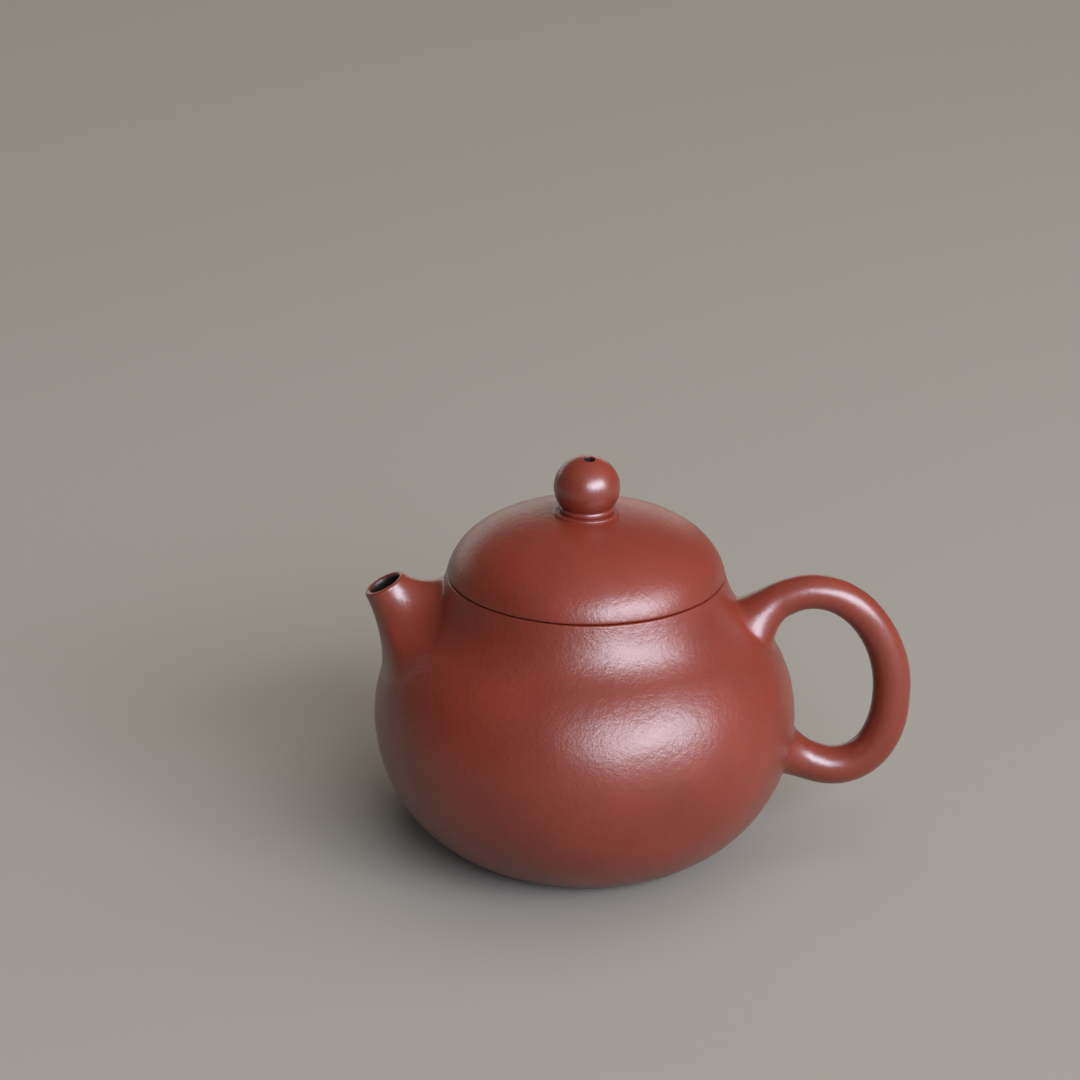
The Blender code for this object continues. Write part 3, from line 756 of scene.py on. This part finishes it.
def make_knob_collar(clay):
    """The knob's collar: a thin round-edged step that spreads onto the lid, and over it a
    round bead that holds the ball."""
    skirt = np.array([(STEP_RADIUS + 0.4, LID_TOP - 0.4), (VENT_RADIUS, LID_TOP - 0.6)])
    step = arc((STEP_RADIUS - STEP_ROUND, STEP_TOP - STEP_ROUND), STEP_ROUND, 90.0, -20.0, 10)
    bead = arc((BEAD_RADIUS - BEAD_HALF, BEAD_HEIGHT), BEAD_HALF, 125.0, -75.0, 24)
    groove = np.array([(BEAD_RADIUS - 0.25, STEP_TOP + 0.02)])
    top = np.array([(VENT_RADIUS, bead[0, 1]), (BEAD_RADIUS - 2.0 * BEAD_HALF, bead[0, 1])])
    outline = np.vstack([top, bead, groove, step, skirt])
    mesh = grid_mesh("knob_collar_clay", turned(spaced(outline, step=0.4), FINE_AROUND),
                     ring=True)
    add_piece("knob_collar_clay", mesh, "lid", "knob_collar", clay)


def make_knob(clay):
    """The ball: a circle flattened a little over its middle, with the vent's softened edge
    on top, cut flat where it sinks into the collar. Painted shade darkens the vent inside."""
    start = np.degrees(np.arcsin((NECK_HEIGHT - KNOB_CENTRE) / KNOB_RADIUS))
    bend = np.radians(np.linspace(80.0, start, KNOB_ROWS))
    tall = np.where(bend > 0.0, KNOB_TOP - KNOB_CENTRE, KNOB_RADIUS)
    ball = np.column_stack([KNOB_RADIUS * np.cos(bend), KNOB_CENTRE + tall * np.sin(bend)])
    ball = ball[ball[:, 0] > VENT_RADIUS + 0.5]
    vent = rounded([(VENT_RADIUS, NECK_HEIGHT), (VENT_RADIUS, KNOB_TOP), ball[0]],
                   [0.0, VENT_EDGE, 0.0], closed=False)
    outline = spaced(np.vstack([vent, ball[1:]]), step=0.35)
    mesh = grid_mesh("knob_clay", leaned(turned(outline, FINE_AROUND)), ring=True)
    # painted shade inside the vent, under its softened top edge
    deep = (outline[:, 0] < VENT_RADIUS + 0.02) & (outline[:, 1] < KNOB_TOP - 0.3)
    set_painted_shade(mesh, deep, FINE_AROUND)
    add_piece("knob_clay", mesh, "lid", "knob", clay)


def leaned(grid):
    """The ball's top leans a little: each point turns about the ball's middle, by an angle
    that is whole at the vent and fades to nothing at the ball's waist."""
    rise = np.clip((grid[..., 2] - KNOB_CENTRE) / (0.8 * KNOB_RADIUS), 0.0, 1.0)
    share = rise**2 * (3.0 - 2.0 * rise)
    front = np.radians(VENT_LEAN[0]) * share
    right = np.radians(VENT_LEAN[1]) * share
    x, y, z = grid[..., 0], grid[..., 1], grid[..., 2] - KNOB_CENTRE
    y, z = y * np.cos(front) - z * np.sin(front), y * np.sin(front) + z * np.cos(front)
    x, z = x * np.cos(right) + z * np.sin(right), z * np.cos(right) - x * np.sin(right)
    return np.stack([x, y, z + KNOB_CENTRE], axis=-1)


# --------------------------------------------------------------------- floor, light, camera

def make_floor():
    """A plain pale floor, larger than the view."""
    corners = [(x * FLOOR_HALF, y * FLOOR_HALF, 0)
               for x, y in ((-1, -1), (1, -1), (1, 1), (-1, 1))]
    mesh = bpy.data.meshes.new("floor")
    mesh.from_pydata(corners, [], [(0, 1, 2, 3)])
    floor = bpy.data.objects.new("floor", mesh)
    floor.location.z = -FLOOR_SINK
    bpy.context.scene.collection.objects.link(floor)
    material = bpy.data.materials.new("floor_pale")
    material.use_nodes = True
    shader = material.node_tree.nodes["Principled BSDF"]
    shader.inputs["Base Color"].default_value = FLOOR_COLOUR + (1.0,)
    shader.inputs["Roughness"].default_value = 0.85
    mesh.materials.append(material)


def soft_light(name, azimuth, elevation, distance, width, height, watts, colour):
    """A flat soft light that faces the pot. Azimuth 0 is on the camera's side, and grows to
    the right; elevation is above the floor."""
    turn, rise = np.radians(azimuth), np.radians(elevation)
    way = Vector((np.sin(turn) * np.cos(rise), -np.cos(turn) * np.cos(rise), np.sin(rise)))
    lamp = bpy.data.lights.new(name, "AREA")
    lamp.shape = "RECTANGLE"
    lamp.size = width
    lamp.size_y = height
    lamp.energy = watts
    lamp.color = colour
    light = bpy.data.objects.new(name, lamp)
    light.location = Vector(LIGHT_AIM) + way * distance
    light.rotation_euler = way.to_track_quat("Z", "Y").to_euler()
    bpy.context.scene.collection.objects.link(light)
    return light


def make_lights():
    """A cool window to the front right, a warm low glow from behind, a wide light high on
    the right that fills the shadows and isn't mirrored in the clay, and a dim room."""
    soft_light("window", *WINDOW)
    soft_light("back_glow", *BACK_GLOW)
    ceiling = soft_light("ceiling", *CEILING)
    ceiling.visible_glossy = False
    world = bpy.data.worlds.new("room")
    world.use_nodes = True
    background = world.node_tree.nodes["Background"]
    background.inputs["Color"].default_value = ROOM_COLOUR + (1.0,)
    background.inputs["Strength"].default_value = ROOM_STRENGTH
    bpy.context.scene.world = world
    bpy.context.scene.view_settings.view_transform = "Standard"


def make_camera():
    """The camera looks down on the pot, which stands low and right of the picture's
    middle."""
    eye = Vector(CAMERA_EYE)
    target = Vector(CAMERA_TARGET)
    lens = bpy.data.cameras.new("camera")
    lens.lens = CAMERA_LENS
    lens.sensor_width = 36.0
    lens.clip_start = 0.01
    camera = bpy.data.objects.new("camera", lens)
    aim = (target - eye).to_track_quat("-Z", "Y")
    camera.location = eye
    camera.rotation_mode = "QUATERNION"
    camera.rotation_quaternion = aim @ Quaternion((0.0, 0.0, 1.0), np.radians(CAMERA_ROLL))
    bpy.context.scene.collection.objects.link(camera)
    bpy.context.scene.camera = camera


def build():
    """The clays, the stage, then the ten pieces. A clay's numbers are its roughness, its
    grain and, where it isn't the usual one, its gloss."""
    outside = fired_clay("fired_clay", RED_CLAY, 0.32, 1.0)
    rubbed = fired_clay("fired_clay_rubbed", RED_CLAY, 0.29, 0.5, 0.58)
    polished = fired_clay("fired_clay_polished", RED_CLAY, 0.29, 0.5, 0.68)
    inside = fired_clay("fired_clay_inner", INNER_CLAY, 0.45, 1.2)
    make_camera()
    make_floor()
    make_lights()
    make_body_wall(outside)
    make_base_disc(outside)
    make_mouth_ring(outside)
    make_spout(polished)
    make_strainer(inside)
    make_handle(rubbed)
    make_lid_dome(outside)
    make_lid_flange(inside)
    make_knob_collar(rubbed)
    make_knob(polished)


build()
